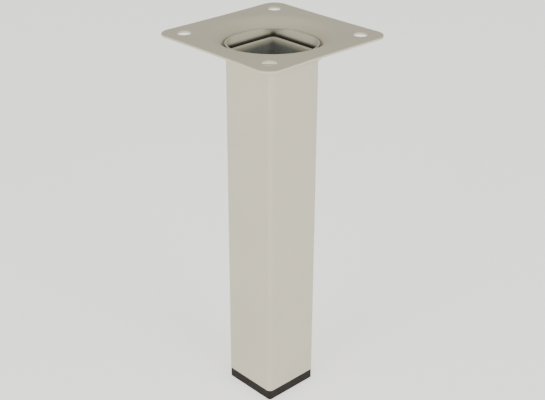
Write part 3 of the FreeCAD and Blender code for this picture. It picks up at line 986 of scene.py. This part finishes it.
class LEG_OT_spindle(bpy.types.Operator):
    """Make the spindle: flanged head with its socket, and the threaded rod"""

    bl_idname = "furniture_leg.spindle"
    bl_label = "Levelling Spindle"

    def execute(self, context):
        sizes = context.scene.leg_tube
        low, high = SPINDLE_LOW[2], SPINDLE_HIGH[2]
        flange_top = low + sizes.flange_height
        rod, steps = sizes.rod, HEAD_STEPS

        def hexagon(level):
            angles = [2 * pi * i / steps for i in range(steps)]
            reach = [hexagon_radius(sizes.key, angle) for angle in angles]
            return [Vector((r * cos(a), r * sin(a), level)) for r, a in zip(reach, angles)]

        loops = [
            hexagon(low + sizes.key_depth),
            hexagon(low + 0.4 * MM),
            circle_loop(3.3 * MM, low, steps),
            circle_loop(sizes.flange / 2, low, steps),
            circle_loop(sizes.flange / 2, flange_top, steps),
            circle_loop(rod + 0.5 * MM, flange_top, steps),
            circle_loop(rod, flange_top + 0.5 * MM, steps),
            circle_loop(rod, flange_top + 2.0 * MM, steps),
            circle_loop(rod - sizes.thread, flange_top + 2.6 * MM, steps),
        ]
        mesh = bmesh.new()
        skin(mesh, loops, "capped")
        head = new_piece("spindle_head", mesh, finish_named("zinc_steel"))
        add_bevel(head, HEAD_EDGE, 40)
        settle(head, "spindle", "zinc_steel", "levelling_spindle")
        self.add_thread(sizes, rod, flange_top + 2.2 * MM, high)
        return {"FINISHED"}

    @staticmethod
    def add_thread(sizes, rod, low, high):
        """A rod whose radius follows a helix, and which fades out at both ends."""
        steps = THREAD_STEPS
        rows = round((high - low) / (sizes.pitch / 8))
        mesh = bmesh.new()
        loops = []
        for row in range(rows + 1):
            level = low + (high - low) * row / rows
            fade = min(1.0, (level - low) / sizes.pitch, (high - level) / sizes.pitch)
            core = rod - sizes.thread
            loop = []
            for i in range(steps):
                angle = 2 * pi * i / steps
                phase = ((level - low) / sizes.pitch - i / steps) % 1.0
                crest = min(1.0, 1.25 * (1 - abs(2 * phase - 1)))
                radius = core + sizes.thread * crest * fade
                loop.append(Vector((radius * cos(angle), radius * sin(angle), level)))
            loops.append(loop)
        skin(mesh, loops, "capped")
        thread = new_piece("spindle_thread", mesh, finish_named("zinc_steel"))
        settle(thread, "spindle", "zinc_steel")


class LEG_OT_hardware(bpy.types.Operator):
    """Make the nut, the thrust washer and the retaining ring"""

    bl_idname = "furniture_leg.hardware"
    bl_label = "Nut, Washer and Ring"

    def execute(self, context):
        self.add_nut()
        for name, node, body, hole, edge in (
            ("thrust_washer_disc", "thrust_washer", "spindle", 4.25 * MM, 0.12 * MM),
            ("retaining_ring_disc", "retaining_ring", "foot", 5.0 * MM, 0.2 * MM),
        ):
            low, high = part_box(node)
            mesh = bmesh.new()
            rim = high[0]
            loops = [
                circle_loop(rim, low[2], ROUND_STEPS),
                circle_loop(rim, high[2], ROUND_STEPS),
                circle_loop(hole, high[2], ROUND_STEPS),
                circle_loop(hole, low[2], ROUND_STEPS),
            ]
            skin(mesh, loops, "joined")
            ring = new_piece(name, mesh, finish_named("zinc_steel"))
            add_bevel(ring, edge, 40)
            settle(ring, body, "zinc_steel", node)
        return {"FINISHED"}

    @staticmethod
    def add_nut():
        """A six-sided nut whose corners are chamfered at both faces."""
        flats = NUT_HIGH[1] - NUT_LOW[1]
        face = flats * 0.475
        chamfer = 0.9 * MM
        steps = ROUND_STEPS
        loops = []
        for rise, limit in ((0, face), (0.45, face + 0.6 * MM), (1.0, face + 1.4 * MM)):
            loops.append((NUT_LOW[2] + rise * chamfer, limit))
        for rise, limit in ((1.0, face + 1.4 * MM), (0.45, face + 0.6 * MM), (0, face)):
            loops.append((NUT_HIGH[2] - rise * chamfer, limit))
        outside = []
        for level, limit in loops:
            ring = []
            for i in range(steps):
                angle = 2 * pi * i / steps
                radius = min(hexagon_radius(flats, angle), limit)
                ring.append(Vector((radius * cos(angle), radius * sin(angle), level)))
            outside.append(ring)
        bore = [
            circle_loop(4.4 * MM, NUT_HIGH[2], steps),
            circle_loop(4.0 * MM, NUT_HIGH[2] - 0.4 * MM, steps),
            circle_loop(4.0 * MM, NUT_LOW[2] + 0.4 * MM, steps),
            circle_loop(4.4 * MM, NUT_LOW[2], steps),
        ]
        mesh = bmesh.new()
        skin(mesh, outside + bore, "joined")
        nut = new_piece("spindle_nut_hex", mesh, finish_named("zinc_steel"))
        add_bevel(nut, NUT_EDGE, 25, 2)
        settle(nut, "leg", "zinc_steel", "spindle_nut")


class LEG_OT_plug(bpy.types.Operator):
    """Make the plug in the tube, with its gripping fins and stiffening ribs"""

    bl_idname = "furniture_leg.plug"
    bl_label = "Tube Plug"

    def execute(self, context):
        sizes = context.scene.leg_tube
        low, high = PLUG_LOW[2], PLUG_HIGH[2]
        fin = PLUG_HIGH[0] - PLUG_LOW[0]
        core, corner = sizes.plug, 1.5 * MM
        loops = [square_loop(core, corner, low)]
        for number in (2, 1, 0):
            top = high - sizes.fin_pitch * number
            loops.append(square_loop(core, corner, top - sizes.fin_height))
            loops.append(square_loop(fin - 0.7 * MM, sizes.fin_corner, top - sizes.fin_height))
            loops.append(square_loop(fin, sizes.fin_corner, top - 0.4 * MM))
            loops.append(square_loop(fin, sizes.fin_corner, top))
            if number:
                loops.append(square_loop(core, corner, top))
        floor = high - sizes.cup_depth
        loops += [
            square_loop(core - 3.2 * MM, 1.0 * MM, high),
            square_loop(core - 3.2 * MM, 1.0 * MM, floor),
            circle_loop(6.2 * MM, floor),
            circle_loop(6.0 * MM, high - 0.6 * MM),
            circle_loop(4.5 * MM, high - 0.6 * MM),
            circle_loop(4.5 * MM, NUT_HIGH[2]),
            turned_loop(lambda angle: hexagon_radius(sizes.nut_pocket, angle), NUT_HIGH[2]),
            turned_loop(lambda angle: hexagon_radius(sizes.nut_pocket, angle), low),
        ]
        mesh = bmesh.new()
        skin(mesh, loops, "joined")
        plug = new_piece("tube_plug_body", mesh, finish_named("plug_moulding"))
        add_bevel(plug, FINE_EDGE, 30)
        settle(plug, "leg", "plug_plastic", "tube_plug")

        mesh = bmesh.new()
        for quarter in range(4):
            turn = Matrix.Rotation(quarter * pi / 2, 4, "Z")
            middle = Vector((7.4 * MM, 0, (floor + high) / 2 - 0.5 * MM))
            shape = Matrix.Diagonal((3.2 * MM, 1.2 * MM, high - floor - 1.0 * MM, 1))
            bmesh.ops.create_cube(mesh, size=1, matrix=turn @ Matrix.Translation(middle) @ shape)
        ribs = new_piece("tube_plug_ribs", mesh, finish_named("plug_moulding"))
        add_bevel(ribs, FINE_EDGE, 30)
        settle(ribs, "leg", "plug_plastic")
        return {"FINISHED"}


class LEG_PT_panel(bpy.types.Panel):
    """The leg's pieces and their sizes"""

    bl_label = "Furniture Leg"
    bl_space_type = "VIEW_3D"
    bl_region_type = "UI"
    bl_category = "Leg"

    def draw(self, context):
        layout = self.layout
        for operator in OPERATORS:
            layout.operator(operator.bl_idname)
        for group in ("leg_plate", "leg_tube", "leg_colours", "leg_view"):
            settings = getattr(context.scene, group)
            column = layout.box().column()
            for name in settings.__annotations__:
                column.prop(settings, name)


SETTINGS = {
    "leg_plate": LegPlateSizes,
    "leg_tube": LegTubeSizes,
    "leg_colours": LegColours,
    "leg_view": LegView,
}
OPERATORS = (
    LEG_OT_stage,
    LEG_OT_plate,
    LEG_OT_collar,
    LEG_OT_tube,
    LEG_OT_foot,
    LEG_OT_spindle,
    LEG_OT_hardware,
    LEG_OT_plug,
)


def register():
    for name, group in SETTINGS.items():
        bpy.utils.register_class(group)
        setattr(bpy.types.Scene, name, bpy.props.PointerProperty(type=group))
    for operator in OPERATORS:
        bpy.utils.register_class(operator)
    bpy.utils.register_class(LEG_PT_panel)


def unregister():
    bpy.utils.unregister_class(LEG_PT_panel)
    for operator in reversed(OPERATORS):
        bpy.utils.unregister_class(operator)
    for name, group in SETTINGS.items():
        delattr(bpy.types.Scene, name)
        bpy.utils.unregister_class(group)


def main():
    register()
    bpy.ops.furniture_leg.stage()
    bpy.ops.furniture_leg.plate()
    bpy.ops.furniture_leg.collar()
    bpy.ops.furniture_leg.tube()
    bpy.ops.furniture_leg.foot()
    bpy.ops.furniture_leg.spindle()
    bpy.ops.furniture_leg.hardware()
    bpy.ops.furniture_leg.plug()


if __name__ == "__main__":
    main()
